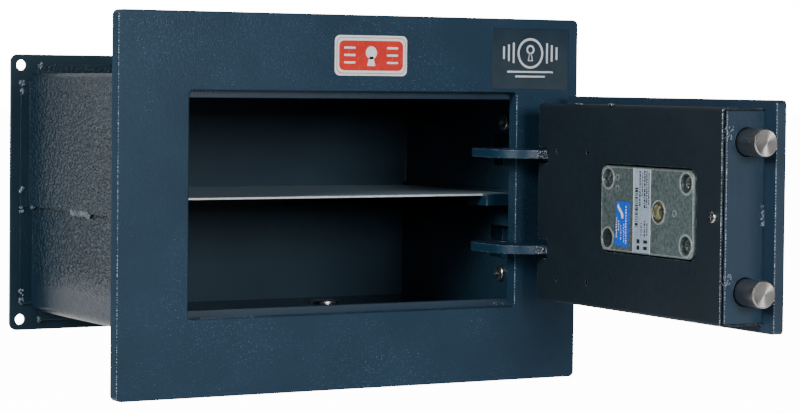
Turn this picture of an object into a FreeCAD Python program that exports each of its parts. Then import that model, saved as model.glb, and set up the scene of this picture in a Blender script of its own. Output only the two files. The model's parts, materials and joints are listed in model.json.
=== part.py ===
import FreeCAD, Part
import math
import os

# Wall safe, millimetres.  X to the right, Y into the wall, Z up.  Everything is drawn from the
# front face of the front frame (Y = 0) with the door shut, then the door is swung to its rest
# angle and the whole safe is moved so that the origin is the centre of the rear plate's back face.

# ---- driving dimensions ----
DEPTH = 215.0                                   # front face of frame to back face of rear plate
FRAME_W, FRAME_H, FRAME_T = 370.0, 265.0, 10.0  # front frame plate
OPEN_W, OPEN_H = 264.0, 157.0                   # doorway
SHEET = 2.5                                     # body sheet
UPPER_HALF_W, LOWER_HALF_W = 164.0, 161.5       # outside half widths of the two body shells
BODY_TOP, BODY_BOTTOM = 89.2, -89.0             # outside of the shells
LAP_LOW, LAP_HIGH = -10.5, 5.0                  # the shells overlap between these heights
BEND = 6.0                                      # outside bend radius of the body sheet
LIP_X, LIP_OUT, LIP_T = 171.4, 7.0, 2.0         # lips of the shells, welded to the rear plate
LIP_NOTCH = 6.0                                 # the side lips stop this far from each bend
REAR_W, REAR_H, REAR_T = 356.0, 206.0, 3.0      # rear mounting plate
ANCHOR_X, ANCHOR_Z, ANCHOR_R = 170.0, 95.0, 4.0

PIVOT_X, PIVOT_Y, PIN_R = 158.3, 19.5, 3.0      # hinge axis
RUN_FIT = 0.05                                  # running clearance on the pins, each side
REST_ANGLE = 88.0                               # door angle from shut, as it stands at rest
DOOR_LEFT, DOOR_RIGHT, DOOR_HALF_H, DOOR_T = -129.7, 129.4, 76.3, 8.0
HINGE_BEVEL = 2.2                               # back edge of the door plate leans away by this
ARM_Z, ARM_T = 34.4, 6.0                        # arm centre height and thickness
ARM_INNER_R = 34.5                              # clears the frame edge as the door swings

COVER_LEFT, COVER_RIGHT, COVER_Y, COVER_HALF_H, COVER_T = -117.3, 111.0, 42.0, 71.0, 1.5
LOCK_X, LOCK_HALF_W, LOCK_HALF_H, LOCK_FACE, LOCK_BACK = -32.2, 56.3, 29.4, 43.5, 14.5
LOCK_PITCH_X, LOCK_PITCH_Z = 95.0, 41.3         # screw pattern of the lock
SPINDLE_X, TUBE_R = -47.5, 7.0

BOLT_R, BOLT_Y, BOLT_Z, BOLT_TIP, BOLT_BACK = 9.0, 22.0, 48.8, -138.2, -91.0
THROW = 15.0                                    # bolt travel
KNOB_X = 66.5
CRANK_R = THROW / 2 / math.sin(math.radians(45))
CARRIAGE_Y0, CARRIAGE_Y1 = 9.5, 12.5

PAD_X, PAD_HALF_W, PAD_HALF_H, PAD_DEPTH = -48.0, 38.0, 50.0, 20.0
KEY_TRAVEL = 1.0


def box(x0, x1, y0, y1, z0, z1):
    return Part.makeBox(x1 - x0, y1 - y0, z1 - z0, FreeCAD.Vector(x0, y0, z0))


def rod(axis, r, start, end, a, b):
    """Cylinder along one axis; a and b are the other two coordinates in X, Y, Z order."""
    place = {"x": (start, a, b), "y": (a, start, b), "z": (a, b, start)}[axis]
    way = {"x": (1, 0, 0), "y": (0, 1, 0), "z": (0, 0, 1)}[axis]
    return Part.makeCylinder(r, end - start, FreeCAD.Vector(*place), FreeCAD.Vector(*way))


def slab(x0, x1, z0, z1, y0, y1, r):
    """Plate standing in the X-Z plane with rounded corners."""
    plate = box(x0, x1, y0, y1, z0, z1)
    upright = [e for e in plate.Edges if abs(e.tangentAt(e.FirstParameter).y) > 0.99]
    return plate.makeFillet(r, upright)


def ease(shape, r, wanted):
    """Round the edges whose every vertex passes the test."""
    edges = [e for e in shape.Edges if all(wanted(v.Point) for v in e.Vertexes)]
    return shape.makeFillet(r, edges)


def fuse(first, *rest):
    return first.fuse(list(rest)).removeSplitter()


def cut(first, *rest):
    return first.cut(list(rest))


def group(*shapes):
    return Part.makeCompound(list(shapes))


def mirror_z(shape):
    return shape.mirror(FreeCAD.Vector(0, 0, 0), FreeCAD.Vector(0, 0, 1))


def mirror_x(shape):
    return shape.mirror(FreeCAD.Vector(0, 0, 0), FreeCAD.Vector(1, 0, 0))


def pan_head(axis_y_start, axis_y_end, r, x, z, slot_w, slot_len):
    """Screw head rising along +Y with a cross recess in its crown."""
    height = axis_y_end - axis_y_start
    head = rod("y", r, axis_y_start, axis_y_end, x, z)
    head = ease(head, height * 0.4, lambda p: abs(p.y - axis_y_end) < 1e-6)
    deep = axis_y_end - height * 0.55
    bars = [box(x - a, x + a, deep, axis_y_end + 1, z - b, z + b)
            for a, b in ((slot_len / 2, slot_w / 2), (slot_w / 2, slot_len / 2))]
    return cut(head, *bars)


# ---- fixed body ----
def front_frame():
    plate = slab(-FRAME_W / 2, FRAME_W / 2, -FRAME_H / 2, FRAME_H / 2, 0, FRAME_T, 4)
    hole = slab(-OPEN_W / 2, OPEN_W / 2, -OPEN_H / 2, OPEN_H / 2, -1, FRAME_T + 1, 3)
    return ease(cut(plate, hole), 0.8, lambda p: abs(p.y) < 1e-6)


def shell(half_w, z_closed, z_open):
    """Folded sheet, closed at one end of its height and open at the other."""
    sign = 1 if z_closed > z_open else -1
    far = z_open - sign * 40
    lo, hi = sorted((z_closed, far))
    inner_lo, inner_hi = sorted((z_closed - sign * SHEET, far - sign * 5))
    y0, y1 = FRAME_T, DEPTH - REAR_T
    skin = cut(slab(-half_w, half_w, lo, hi, y0, y1, BEND),
               slab(-half_w + SHEET, half_w - SHEET, inner_lo, inner_hi, y0 - 1, y1 + 1, BEND - SHEET))
    keep_lo, keep_hi = sorted((z_closed + sign, z_open))
    skin = skin.common(box(-300, 300, y0, y1, keep_lo, keep_hi))
    edge = z_closed + sign * LIP_OUT
    lip = slab(-LIP_X, LIP_X, *sorted((edge, far)), y1 - LIP_T, y1, 4)
    lip = cut(lip, slab(-half_w, half_w, lo, hi, y0, y1 + 1, BEND))
    stop = min(z_open, LAP_LOW - 0.4) if sign < 0 else z_open
    lip = lip.common(box(-300, 300, y0, y1, *sorted((edge + sign, stop))))
    corner = sorted((z_closed - sign * LIP_NOTCH, edge + sign))
    notches = [box(*sorted((side * (half_w - BEND), side * 200)), y0, y1 + 1, *corner) for side in (-1, 1)]
    return fuse(skin, cut(lip, *notches))


WALL_SLOT = (23.0, 47.0)
SCREW_Y, SCREW_R = 61.5, 2.5
SCREW_HIGH, SCREW_LOW = 55.6, -59.0


def upper_shell():
    slot = box(UPPER_HALF_W - 5, UPPER_HALF_W + 1, FRAME_T, 78, *WALL_SLOT)
    hole = rod("x", SCREW_R + 0.3, UPPER_HALF_W - 5, UPPER_HALF_W + 1, SCREW_Y, SCREW_HIGH)
    return cut(shell(UPPER_HALF_W, BODY_TOP, LAP_LOW), slot, hole)


def lower_shell():
    slot = box(LOWER_HALF_W - 5, LOWER_HALF_W + 1, FRAME_T, 78, -WALL_SLOT[1], -WALL_SLOT[0])
    hole = rod("x", SCREW_R + 0.3, LOWER_HALF_W - 5, LOWER_HALF_W + 1, SCREW_Y, SCREW_LOW)
    plug_hole = rod("z", 6.3, BODY_BOTTOM - 1, BODY_BOTTOM + 4, PLUG_X, PLUG_Y)
    return cut(shell(LOWER_HALF_W, BODY_BOTTOM, LAP_HIGH), slot, hole, plug_hole)


def rear_plate():
    plate = slab(-REAR_W / 2, REAR_W / 2, -REAR_H / 2, REAR_H / 2, DEPTH - REAR_T, DEPTH, 5.5)
    holes = [rod("y", ANCHOR_R, DEPTH - REAR_T - 1, DEPTH + 1, sx * ANCHOR_X, sz * ANCHOR_Z)
             for sx in (-1, 1) for sz in (-1, 1)]
    return cut(plate, *holes)


STOP_Z0, STOP_Z1 = 73.3, 86.2


def door_stop():
    return box(-154, 154, FRAME_T, FRAME_T + 4, STOP_Z0, STOP_Z1)


PLUG_X, PLUG_Y = 65.0, 169.0


def floor_plug():
    floor = BODY_BOTTOM + SHEET
    cap = ease(rod("z", 10.5, floor, floor + 1.6, PLUG_X, PLUG_Y), 0.7, lambda p: p.z > floor + 1)
    stem = rod("z", 6.0, BODY_BOTTOM - 1.5, floor, PLUG_X, PLUG_Y)
    return fuse(cap, stem)


SHELF_Z, SHELF_T, SHELF_FRONT = 0.9, 1.5, 46.0


def shelf():
    return box(-158, 158, SHELF_FRONT, DEPTH - REAR_T, SHELF_Z, SHELF_Z + SHELF_T)


def shelf_lug():
    wall = LOWER_HALF_W - SHEET
    ledge = box(132, wall, 40, 66, SHELF_Z - 7.2, SHELF_Z)
    lip = box(132, wall, 40, SHELF_FRONT - 0.3, SHELF_Z - 7.2, SHELF_Z + SHELF_T)
    return fuse(ledge, lip)


HOUSING_X, HOUSING_T, HOUSING_HALF_H, HOUSING_BACK = 172.0, 1.5, 68.0, 80.0


def hinge_housing():
    low = LOWER_HALF_W
    skin = cut(box(low, HOUSING_X, FRAME_T, HOUSING_BACK, -HOUSING_HALF_H, HOUSING_HALF_H),
               box(low - 1, HOUSING_X - HOUSING_T, FRAME_T - 1, HOUSING_BACK - HOUSING_T,
                   -HOUSING_HALF_H + HOUSING_T, HOUSING_HALF_H - HOUSING_T),
               box(low - 1, UPPER_HALF_W, FRAME_T - 1, HOUSING_BACK + 1, LAP_LOW - 0.3, HOUSING_HALF_H + 1))
    nuts = [rod("x", 5.0, start, HOUSING_X - HOUSING_T, SCREW_Y, z)
            for start, z in ((UPPER_HALF_W, SCREW_HIGH), (low, SCREW_LOW))]
    bores = [rod("x", SCREW_R + 0.1, low - 1, HOUSING_X - 2 * HOUSING_T, SCREW_Y, z)
             for z in (SCREW_HIGH, SCREW_LOW)]
    return cut(fuse(skin, *nuts), *bores)


def housing_screw(wall_x, z):
    head = pan_head(0, 3.0, 6.2, 0, 0, 1.5, 7.0)
    shank = rod("y", SCREW_R, -7.5, 0, 0, 0)
    screw = fuse(head, shank)
    screw.rotate(FreeCAD.Vector(0, 0, 0), FreeCAD.Vector(0, 0, 1), 90)
    screw.translate(FreeCAD.Vector(wall_x, SCREW_Y, z))
    return screw


LEAF_T, LEAF_GAP = 5.0, 0.5


def hinge_brackets():
    leaves = []
    for side in (-1, 1):
        near = side * (ARM_T / 2 + LEAF_GAP)
        z0, z1 = sorted((ARM_Z + near, ARM_Z + near + side * LEAF_T))
        leaf = box(148, 166, FRAME_T, PIVOT_Y + 8, z0, z1)
        leaf = ease_upright(leaf, 6, lambda p: p.y > PIVOT_Y)
        leaves.append(cut(leaf, rod("z", PIN_R + RUN_FIT, z0 - 1, z1 + 1, PIVOT_X, PIVOT_Y)))
    return group(*leaves, *[mirror_z(leaf) for leaf in leaves])


def ease_upright(shape, r, wanted):
    edges = [e for e in shape.Edges
             if abs(e.tangentAt(e.FirstParameter).z) > 0.99 and all(wanted(v.Point) for v in e.Vertexes)]
    return shape.makeFillet(r, edges)


def hinge_pins():
    top = ARM_Z + ARM_T / 2 + LEAF_GAP + LEAF_T
    bottom = ARM_Z - ARM_T / 2 - LEAF_GAP - LEAF_T
    pins = []
    for shift in (0, -2 * ARM_Z):
        shank = rod("z", PIN_R, bottom - 1 + shift, top + shift, PIVOT_X, PIVOT_Y)
        head = rod("z", 4.6, top + shift, top + 2 + shift, PIVOT_X, PIVOT_Y)
        pins.append(fuse(shank, ease(head, 0.8, lambda p, z=top + 2 + shift: abs(p.z - z) < 1e-6)))
    return group(*pins)


def frame_label(x0, x1, z0, z1, r):
    return slab(x0, x1, z0, z1, -0.2, 0, r)


# ---- door ----
def door_plate():
    plate = slab(DOOR_LEFT, DOOR_RIGHT, -DOOR_HALF_H, DOOR_HALF_H, 0, DOOR_T, 3)
    plate = ease(plate, 0.8, lambda p: abs(p.y - DOOR_T) < 1e-6)
    plate = ease(plate, 0.8, lambda p: abs(p.y) < 1e-6)
    corners = [FreeCAD.Vector(DOOR_RIGHT, 0, -100), FreeCAD.Vector(DOOR_RIGHT + 9, 0, -100),
               FreeCAD.Vector(DOOR_RIGHT + 9, DOOR_T, -100),
               FreeCAD.Vector(DOOR_RIGHT - HINGE_BEVEL, DOOR_T, -100)]
    lean = Part.Face(Part.makePolygon(corners + corners[:1])).extrude(FreeCAD.Vector(0, 0, 200))
    holes = [rod("y", TUBE_R + 0.3, -1, DOOR_T + 1, SPINDLE_X, 0), rod("y", 7.3, -1, DOOR_T + 1, KNOB_X, 0)]
    return cut(plate, lean, *holes)


def side_plate():
    plate = box(COVER_LEFT, COVER_LEFT + 3, DOOR_T, COVER_Y - 3, -69.2, 69.2)
    plate = ease(plate, 1.2, lambda p: p.x < COVER_LEFT + 0.1 and p.y > DOOR_T + 1)
    tab = box(COVER_LEFT + 3, COVER_LEFT + 14, COVER_Y - COVER_T - 3, COVER_Y - COVER_T, -8, 8)
    holes = [rod("x", BOLT_R + 0.6, COVER_LEFT - 1, COVER_LEFT + 4, BOLT_Y, s * BOLT_Z) for s in (-1, 1)]
    tap = rod("y", 2.2, COVER_Y - 10, COVER_Y, COVER_SCREW_X, 0)
    return cut(fuse(plate, tab), *holes, tap)


COVER_SCREW_X = -109.3
NOTCHES = ((28.0, 39.6), (-40.7, -27.0))
COVER_HOLES = ((85.2, 37.0), (45.0, 37.0), (85.2, -54.3), (44.5, -54.3))


def inner_cover():
    outer = slab_x(COVER_LEFT, COVER_RIGHT, COVER_Y, COVER_HALF_H, 2.5)
    inner = slab_x(COVER_LEFT - 1, COVER_RIGHT + 1, COVER_Y - COVER_T, COVER_HALF_H - COVER_T, 1.0)
    hollow = cut(outer, inner).common(box(-200, 200, DOOR_T, 60, -100, 100))
    window = slab(LOCK_X - LOCK_HALF_W - 1.2, LOCK_X + LOCK_HALF_W + 1.2, -LOCK_HALF_H - 1.2, LOCK_HALF_H + 1.2,
                  COVER_Y - 5, COVER_Y + 5, 7.0)
    notches = [box(98.1, COVER_RIGHT + 1, COVER_Y - 5, COVER_Y + 5, z0, z1) for z0, z1 in NOTCHES]
    holes = [rod("y", 1.5, COVER_Y - 5, COVER_Y + 5, x, z) for x, z in COVER_HOLES]
    screw = rod("y", 2.2, COVER_Y - 5, COVER_Y + 5, COVER_SCREW_X, 0)
    return cut(hollow, window, *notches, *holes, screw)


def slab_x(x0, x1, y_top, half_h, r):
    """Long block running along X whose two upper long edges are rounded."""
    block = box(x0, x1, -20, y_top, -half_h, half_h)
    along = [e for e in block.Edges
             if abs(e.tangentAt(e.FirstParameter).x) > 0.99 and e.Vertexes[0].Point.y > y_top - 1e-6]
    return block.makeFillet(r, along)


def cover_screw():
    return fuse(pan_head(COVER_Y, COVER_Y + 2.2, 3.8, COVER_SCREW_X, 0, 1.0, 4.2),
                rod("y", 1.9, COVER_Y - 7, COVER_Y, COVER_SCREW_X, 0))


def hinge_arm():
    """Swan-neck plate that lifts the door round the edge of the frame."""
    z0 = ARM_Z - ARM_T / 2
    right, left, top, inner_x = PIVOT_X + 7.5, 98.6, 72.8, PIVOT_X - 6.5
    leg_x = PIVOT_X - ARM_INNER_R
    bow = math.sqrt(ARM_INNER_R ** 2 - 6.5 ** 2)
    near, far, diagonal = 15.0, 28.0, math.sqrt(0.5)

    def p(x, y):
        return FreeCAD.Vector(x, y, z0)

    def line(a, b):
        return Part.LineSegment(p(*a), p(*b)).toShape()

    def arc(a, centre, r, way, b):
        middle = p(centre[0] + way[0] * r * diagonal, centre[1] + way[1] * r * diagonal)
        return Part.Arc(p(*a), middle, p(*b)).toShape()

    outline = Part.Wire([
        line((right, PIVOT_Y), (right, top - near)),
        arc((right, top - near), (right - near, top - near), near, (1, 1), (right - near, top)),
        line((right - near, top), (left + far, top)),
        arc((left + far, top), (left + far, top - far), far, (-1, 1), (left, top - far)),
        line((left, top - far), (left, 17)),
        line((left, 17), (62, 17)),
        line((62, 17), (62, DOOR_T)),
        line((62, DOOR_T), (leg_x, DOOR_T)),
        line((leg_x, DOOR_T), (leg_x, PIVOT_Y)),
        arc((leg_x, PIVOT_Y), (PIVOT_X, PIVOT_Y), ARM_INNER_R, (-1, 1), (inner_x, PIVOT_Y + bow)),
        line((inner_x, PIVOT_Y + bow), (inner_x, PIVOT_Y)),
        line((inner_x, PIVOT_Y), (right, PIVOT_Y)),
    ])
    neck = Part.Face(outline).extrude(FreeCAD.Vector(0, 0, ARM_T))
    eye = rod("z", 7.5, z0, z0 + ARM_T, PIVOT_X, PIVOT_Y)
    return cut(fuse(neck, eye), rod("z", PIN_R + RUN_FIT, z0 - 1, z0 + ARM_T + 1, PIVOT_X, PIVOT_Y))


# ---- lock ----
LOCK_HOLES = [(LOCK_X + sx * LOCK_PITCH_X / 2, sz * LOCK_PITCH_Z / 2) for sx in (1, -1) for sz in (1, -1)]
EMPTY_HOLE = 1                                  # the lower hinge-side hole has no screw
LID_T, WELL, WELL_R = 2.0, 5.5, 6.5             # lid thickness, depth and radius of the screw wells


def lock_case():
    x0, x1 = LOCK_X - LOCK_HALF_W, LOCK_X + LOCK_HALF_W
    rim = LOCK_FACE - LID_T
    case = cut(slab(x0, x1, -LOCK_HALF_H, LOCK_HALF_H, LOCK_BACK, rim, 6),
               slab(x0 + 3, x1 - 3, -LOCK_HALF_H + 3, LOCK_HALF_H - 3, LOCK_BACK + 3, rim + 1, 3))
    posts = [rod("y", 8.0, LOCK_BACK, rim, x, z) for x, z in LOCK_HOLES]
    case = fuse(case, *posts).common(slab(x0, x1, -LOCK_HALF_H, LOCK_HALF_H, LOCK_BACK, rim, 6))
    bores = [rod("y", 3.2, LOCK_BACK - 1, rim + 1, x, z) for x, z in LOCK_HOLES]
    bores += [rod("y", WELL_R, LOCK_FACE - WELL, rim + 1, x, z) for x, z in LOCK_HOLES]
    bores.append(rod("y", WELL_R, LOCK_BACK + 8, rim + 1, *LOCK_HOLES[EMPTY_HOLE]))
    gate = box(x1 - 5, x1 + 1, 22 - 0.3, 33 + 0.3, -9.3, 9.3)
    return cut(case, *bores, rod("y", TUBE_R + 0.3, LOCK_BACK - 1, LOCK_BACK + 4, SPINDLE_X, 0), gate)


def lock_lid():
    x0, x1 = LOCK_X - LOCK_HALF_W, LOCK_X + LOCK_HALF_W
    lid = slab(x0, x1, -LOCK_HALF_H, LOCK_HALF_H, LOCK_FACE - LID_T, LOCK_FACE, 6)
    lid = ease(lid, 0.7, lambda p: abs(p.y - LOCK_FACE) < 1e-6)
    wells = [rod("y", WELL_R, LOCK_FACE - 5, LOCK_FACE + 1, x, z) for x, z in LOCK_HOLES]
    return cut(lid, *wells, rod("y", 7.5, LOCK_FACE - 5, LOCK_FACE + 1, SPINDLE_X, 0))


def lock_screws():
    seat = LOCK_FACE - WELL
    held = [hole for i, hole in enumerate(LOCK_HOLES) if i != EMPTY_HOLE]
    return group(*[fuse(pan_head(seat, seat + 3.2, 4.8, x, z, 1.3, 5.4), rod("y", 2.8, DOOR_T + 0.5, seat, x, z))
                   for x, z in held])


def lock_pillars():
    return group(*[cut(rod("y", 4.5, DOOR_T, LOCK_BACK, x, z), rod("y", 3.1, DOOR_T - 1, LOCK_BACK + 1, x, z))
                   for x, z in LOCK_HOLES])


def lock_bolt():
    end = LOCK_X + LOCK_HALF_W
    return ease_x(box(-4, end, 22, 33, -9, 9), 1.0)


def ease_x(shape, r):
    return shape.makeFillet(r, [e for e in shape.Edges if abs(e.tangentAt(e.FirstParameter).x) > 0.99])


def lock_solenoid():
    coil = ease_x(box(-36, -13, LOCK_BACK + 3, 36, -10, 10), 2.0)
    return fuse(coil, rod("x", 3.0, -13, -4.5, 27.5, 0))


def spindle_tube():
    end = LOCK_FACE + 0.4
    return cut(rod("y", TUBE_R, 0.5, end, SPINDLE_X, 0), rod("y", 5.0, 0, end + 1, SPINDLE_X, 0))


def lock_strip():
    return box(-38.0, -16.6, LOCK_FACE, LOCK_FACE + 0.2, -28.6, 28.6)


def lock_sticker():
    pts = [(3.9, 5.6), (-12.9, 5.0), (-10.6, -25.8), (6.3, -25.2)]
    ring = [FreeCAD.Vector(x, LOCK_FACE, z) for x, z in pts]
    return Part.Face(Part.makePolygon(ring + ring[:1])).extrude(FreeCAD.Vector(0, 0.2, 0))


# ---- bolt work ----
GUIDES = ((31.0, 0.0), (-52.0, 28.0), (-52.0, -28.0))


def bolt_carriage():
    y0, y1 = CARRIAGE_Y0, CARRIAGE_Y1
    bar = box(-50, 50, y0, y1, -13, 13)
    head = box(44, 90, y0, y1, -18, 18)
    cross = box(-74, -44, y0, y1, -59, 59)
    limbs = [box(BOLT_BACK, -73, y0, y1, *sorted((s * 39.0, s * 59.0))) for s in (-1, 1)]
    tabs = [box(BOLT_BACK, BOLT_BACK + 3, y0, 34, *sorted((s * 39.0, s * 59.0))) for s in (-1, 1)]
    plate = ease_y(fuse(bar, head, cross, *limbs, *tabs), 1.0)
    spindle = track(SPINDLE_X, 0, TUBE_R + 0.6)
    shaft = track(KNOB_X, 0, 4.8)
    guides = [track(x, z, 3.3) for x, z in GUIDES]
    pin_x = KNOB_X - THROW / 2
    pin = box(pin_x - 3.5, pin_x + 3.5, y0 - 1, y1 + 1, 3.8, CRANK_R + 3.5)
    return cut(plate, spindle, shaft, pin, *guides)


def track(x, z, r):
    """Slot in the carriage that lets it slide THROW past a fixed post."""
    y0, y1 = CARRIAGE_Y0 - 1, CARRIAGE_Y1 + 1
    ends = [rod("y", r, y0, y1, x - shift, z) for shift in (-0.2, THROW + 0.2)]
    return fuse(box(x - THROW - 0.2, x + 0.2, y0, y1, z - r, z + r), *ends)


def ease_y(shape, r):
    edges = [e for e in shape.Edges
             if e.Length < 3.01 and abs(e.tangentAt(e.FirstParameter).y) > 0.99]
    return shape.makeFillet(r, edges)


def lock_bar(z):
    bar = rod("x", BOLT_R, BOLT_TIP, BOLT_BACK, BOLT_Y, z)
    tip = [e for e in bar.Edges if all(abs(v.Point.x - BOLT_TIP) < 1e-6 for v in e.Vertexes)]
    bar = bar.makeChamfer(0.7, tip)
    dish = Part.makeSphere(90.0, FreeCAD.Vector(BOLT_TIP - 90.0 + 0.4, BOLT_Y, z))
    return cut(bar, dish)


def guide_studs():
    y1 = CARRIAGE_Y1
    return group(*[fuse(rod("y", 2.8, DOOR_T, y1 + 0.3, x, z), rod("y", 5.2, y1 + 0.3, y1 + 1.7, x, z))
                   for x, z in GUIDES])


def knob_bush():
    flange = ease(rod("y", 19.0, -3.0, 0, KNOB_X, 0), 1.2, lambda p: abs(p.y + 3.0) < 1e-6)
    sleeve = rod("y", 7.0, 0, DOOR_T, KNOB_X, 0)
    return cut(fuse(flange, sleeve), rod("y", 4.0 + RUN_FIT, -4, DOOR_T + 1, KNOB_X, 0))


def knob():
    core = ease(rod("y", 17.0, -31.0, -4.0, KNOB_X, 0), 2.5, lambda p: abs(p.y + 31.0) < 1e-6)
    scoops = [rod("y", 4.0, -32.0, -9.0, KNOB_X + 18.6 * math.cos(a), 18.6 * math.sin(a))
              for a in [math.radians(30 + 60 * i) for i in range(6)]]
    return cut(core, *scoops, rod("y", 4.0, -27.0, 0, KNOB_X, 0))


def knob_shaft():
    return rod("y", 4.0, -27.0, 20.0, KNOB_X, 0)


def drive_cam():
    y0 = CARRIAGE_Y1 + 1.0
    disc = rod("y", 15.5, y0, y0 + 4.0, KNOB_X, 0)
    pin = rod("y", 3.0, CARRIAGE_Y0 - 0.4, y0, KNOB_X - THROW / 2, THROW / 2)
    return cut(fuse(disc, pin), rod("y", 4.0, y0 - 1, y0 + 5, KNOB_X, 0))


# ---- key pad ----
KEYS = [(PAD_X + 19.0 * (col - 1), 33.0 - 16.0 * row) for row in range(4) for col in range(3)]
KEY_NAMES = ("key_1", "key_2", "key_3", "key_4", "key_5", "key_6",
             "key_7", "key_8", "key_9", "key_clear", "key_0", "key_enter")
KEY_HALF_W, KEY_HALF_H = 7.0, 5.4


def keypad_base():
    x0, x1 = PAD_X - PAD_HALF_W, PAD_X + PAD_HALF_W
    body = slab(x0, x1, -PAD_HALF_H, PAD_HALF_H, -PAD_DEPTH, 0, 8)
    body = ease(body, 2.5, lambda p: abs(p.y + PAD_DEPTH) < 1e-6)
    room = slab(x0 + 3, x1 - 3, -PAD_HALF_H + 3, PAD_HALF_H - 3, -PAD_DEPTH + 3, 1, 5)
    holes = [slab(x - KEY_HALF_W - 0.3, x + KEY_HALF_W + 0.3, z - KEY_HALF_H - 0.3, z + KEY_HALF_H + 0.3,
                  -PAD_DEPTH - 1, -PAD_DEPTH + 4, 1.8) for x, z in KEYS]
    bay = slab(PAD_X - 28.3, PAD_X + 28.3, -45.3, -26.7, -PAD_DEPTH - 1, -PAD_DEPTH + 1.5, 2.3)
    ledge = slab(PAD_X - 24, PAD_X + 24, -43, -29, -PAD_DEPTH, -PAD_DEPTH + 4, 2)
    return cut(body, room, *holes, bay, ledge)


def battery_lid():
    lid = slab(PAD_X - 28, PAD_X + 28, -45, -27, -PAD_DEPTH - 0.6, -PAD_DEPTH + 1.5, 2)
    return ease(lid, 0.5, lambda p: abs(p.y + PAD_DEPTH + 0.6) < 1e-6)


def keypad_board():
    return box(PAD_X - 34.5, PAD_X + 34.5, -PAD_DEPTH + 7.4, -PAD_DEPTH + 9.0, -22, 42)


def keypad_posts():
    return group(*[rod("y", 2.5, -PAD_DEPTH + 9.0, 0, PAD_X + sx * 31, z) for sx in (-1, 1) for z in (-19, 39)])


def key(x, z):
    cap = slab(x - KEY_HALF_W, x + KEY_HALF_W, z - KEY_HALF_H, z + KEY_HALF_H,
               -PAD_DEPTH - 1.8, -PAD_DEPTH + 3.2, 1.5)
    cap = ease(cap, 0.8, lambda p: abs(p.y + PAD_DEPTH + 1.8) < 1e-6)
    skirt = slab(x - KEY_HALF_W - 1, x + KEY_HALF_W + 1, z - KEY_HALF_H - 1, z + KEY_HALF_H + 1,
                 -PAD_DEPTH + 3.2, -PAD_DEPTH + 4.4, 2.0)
    stem = rod("y", 2.5, -PAD_DEPTH + 4.4, -PAD_DEPTH + 6.2, x, z)
    return fuse(cap, skirt, stem)


def save(name, shape, on_door=False):
    shape = shape.copy()
    if on_door:
        shape.rotate(FreeCAD.Vector(PIVOT_X, PIVOT_Y, 0), FreeCAD.Vector(0, 0, 1), REST_ANGLE)
    shape.translate(FreeCAD.Vector(0, -DEPTH, 0))
    shape.exportStep("parts/%s.step" % name)


FIXED = {
    "front_frame": front_frame(),
    "upper_shell": upper_shell(),
    "lower_shell": lower_shell(),
    "rear_plate": rear_plate(),
    "door_stop_top": door_stop(),
    "door_stop_bottom": mirror_z(door_stop()),
    "shelf": shelf(),
    "shelf_lugs": group(shelf_lug(), mirror_x(shelf_lug())),
    "hinge_housing": hinge_housing(),
    "housing_screws": group(housing_screw(UPPER_HALF_W - SHEET, SCREW_HIGH),
                            housing_screw(LOWER_HALF_W - SHEET, SCREW_LOW)),
    "hinge_brackets": hinge_brackets(),
    "hinge_pins": hinge_pins(),
    "floor_plug": floor_plug(),
    "frame_label_white": frame_label(-20, 38.6, 89.5, 118.0, 4),
    "frame_label_clear": frame_label(110, 176.5, 81.0, 125.2, 1),
}
DOOR = {
    "door_plate": door_plate(),
    "side_plate": side_plate(),
    "inner_cover": inner_cover(),
    "cover_screw": cover_screw(),
    "hinge_arm_upper": hinge_arm(),
    "hinge_arm_lower": mirror_z(hinge_arm()),
    "lock_case": lock_case(),
    "lock_lid": lock_lid(),
    "lock_screws": lock_screws(),
    "lock_pillars": lock_pillars(),
    "lock_solenoid": lock_solenoid(),
    "lock_bolt": lock_bolt(),
    "spindle_tube": spindle_tube(),
    "lock_strip": lock_strip(),
    "lock_sticker": lock_sticker(),
    "guide_studs": guide_studs(),
    "bolt_carriage": bolt_carriage(),
    "bolt_upper": lock_bar(BOLT_Z),
    "bolt_lower": lock_bar(-BOLT_Z),
    "knob_bush": knob_bush(),
    "knob": knob(),
    "knob_shaft": knob_shaft(),
    "drive_cam": drive_cam(),
    "keypad_base": keypad_base(),
    "keypad_board": keypad_board(),
    "keypad_posts": keypad_posts(),
    "battery_lid": battery_lid(),
}
DOOR.update({name: key(x, z) for name, (x, z) in zip(KEY_NAMES, KEYS)})

for part_name, part_shape in FIXED.items():
    save(part_name, part_shape)
for part_name, part_shape in DOOR.items():
    save(part_name, part_shape, on_door=True)
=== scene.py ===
import json
import math
import random

import bmesh
import bpy
from mathutils import Matrix, Vector


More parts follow.
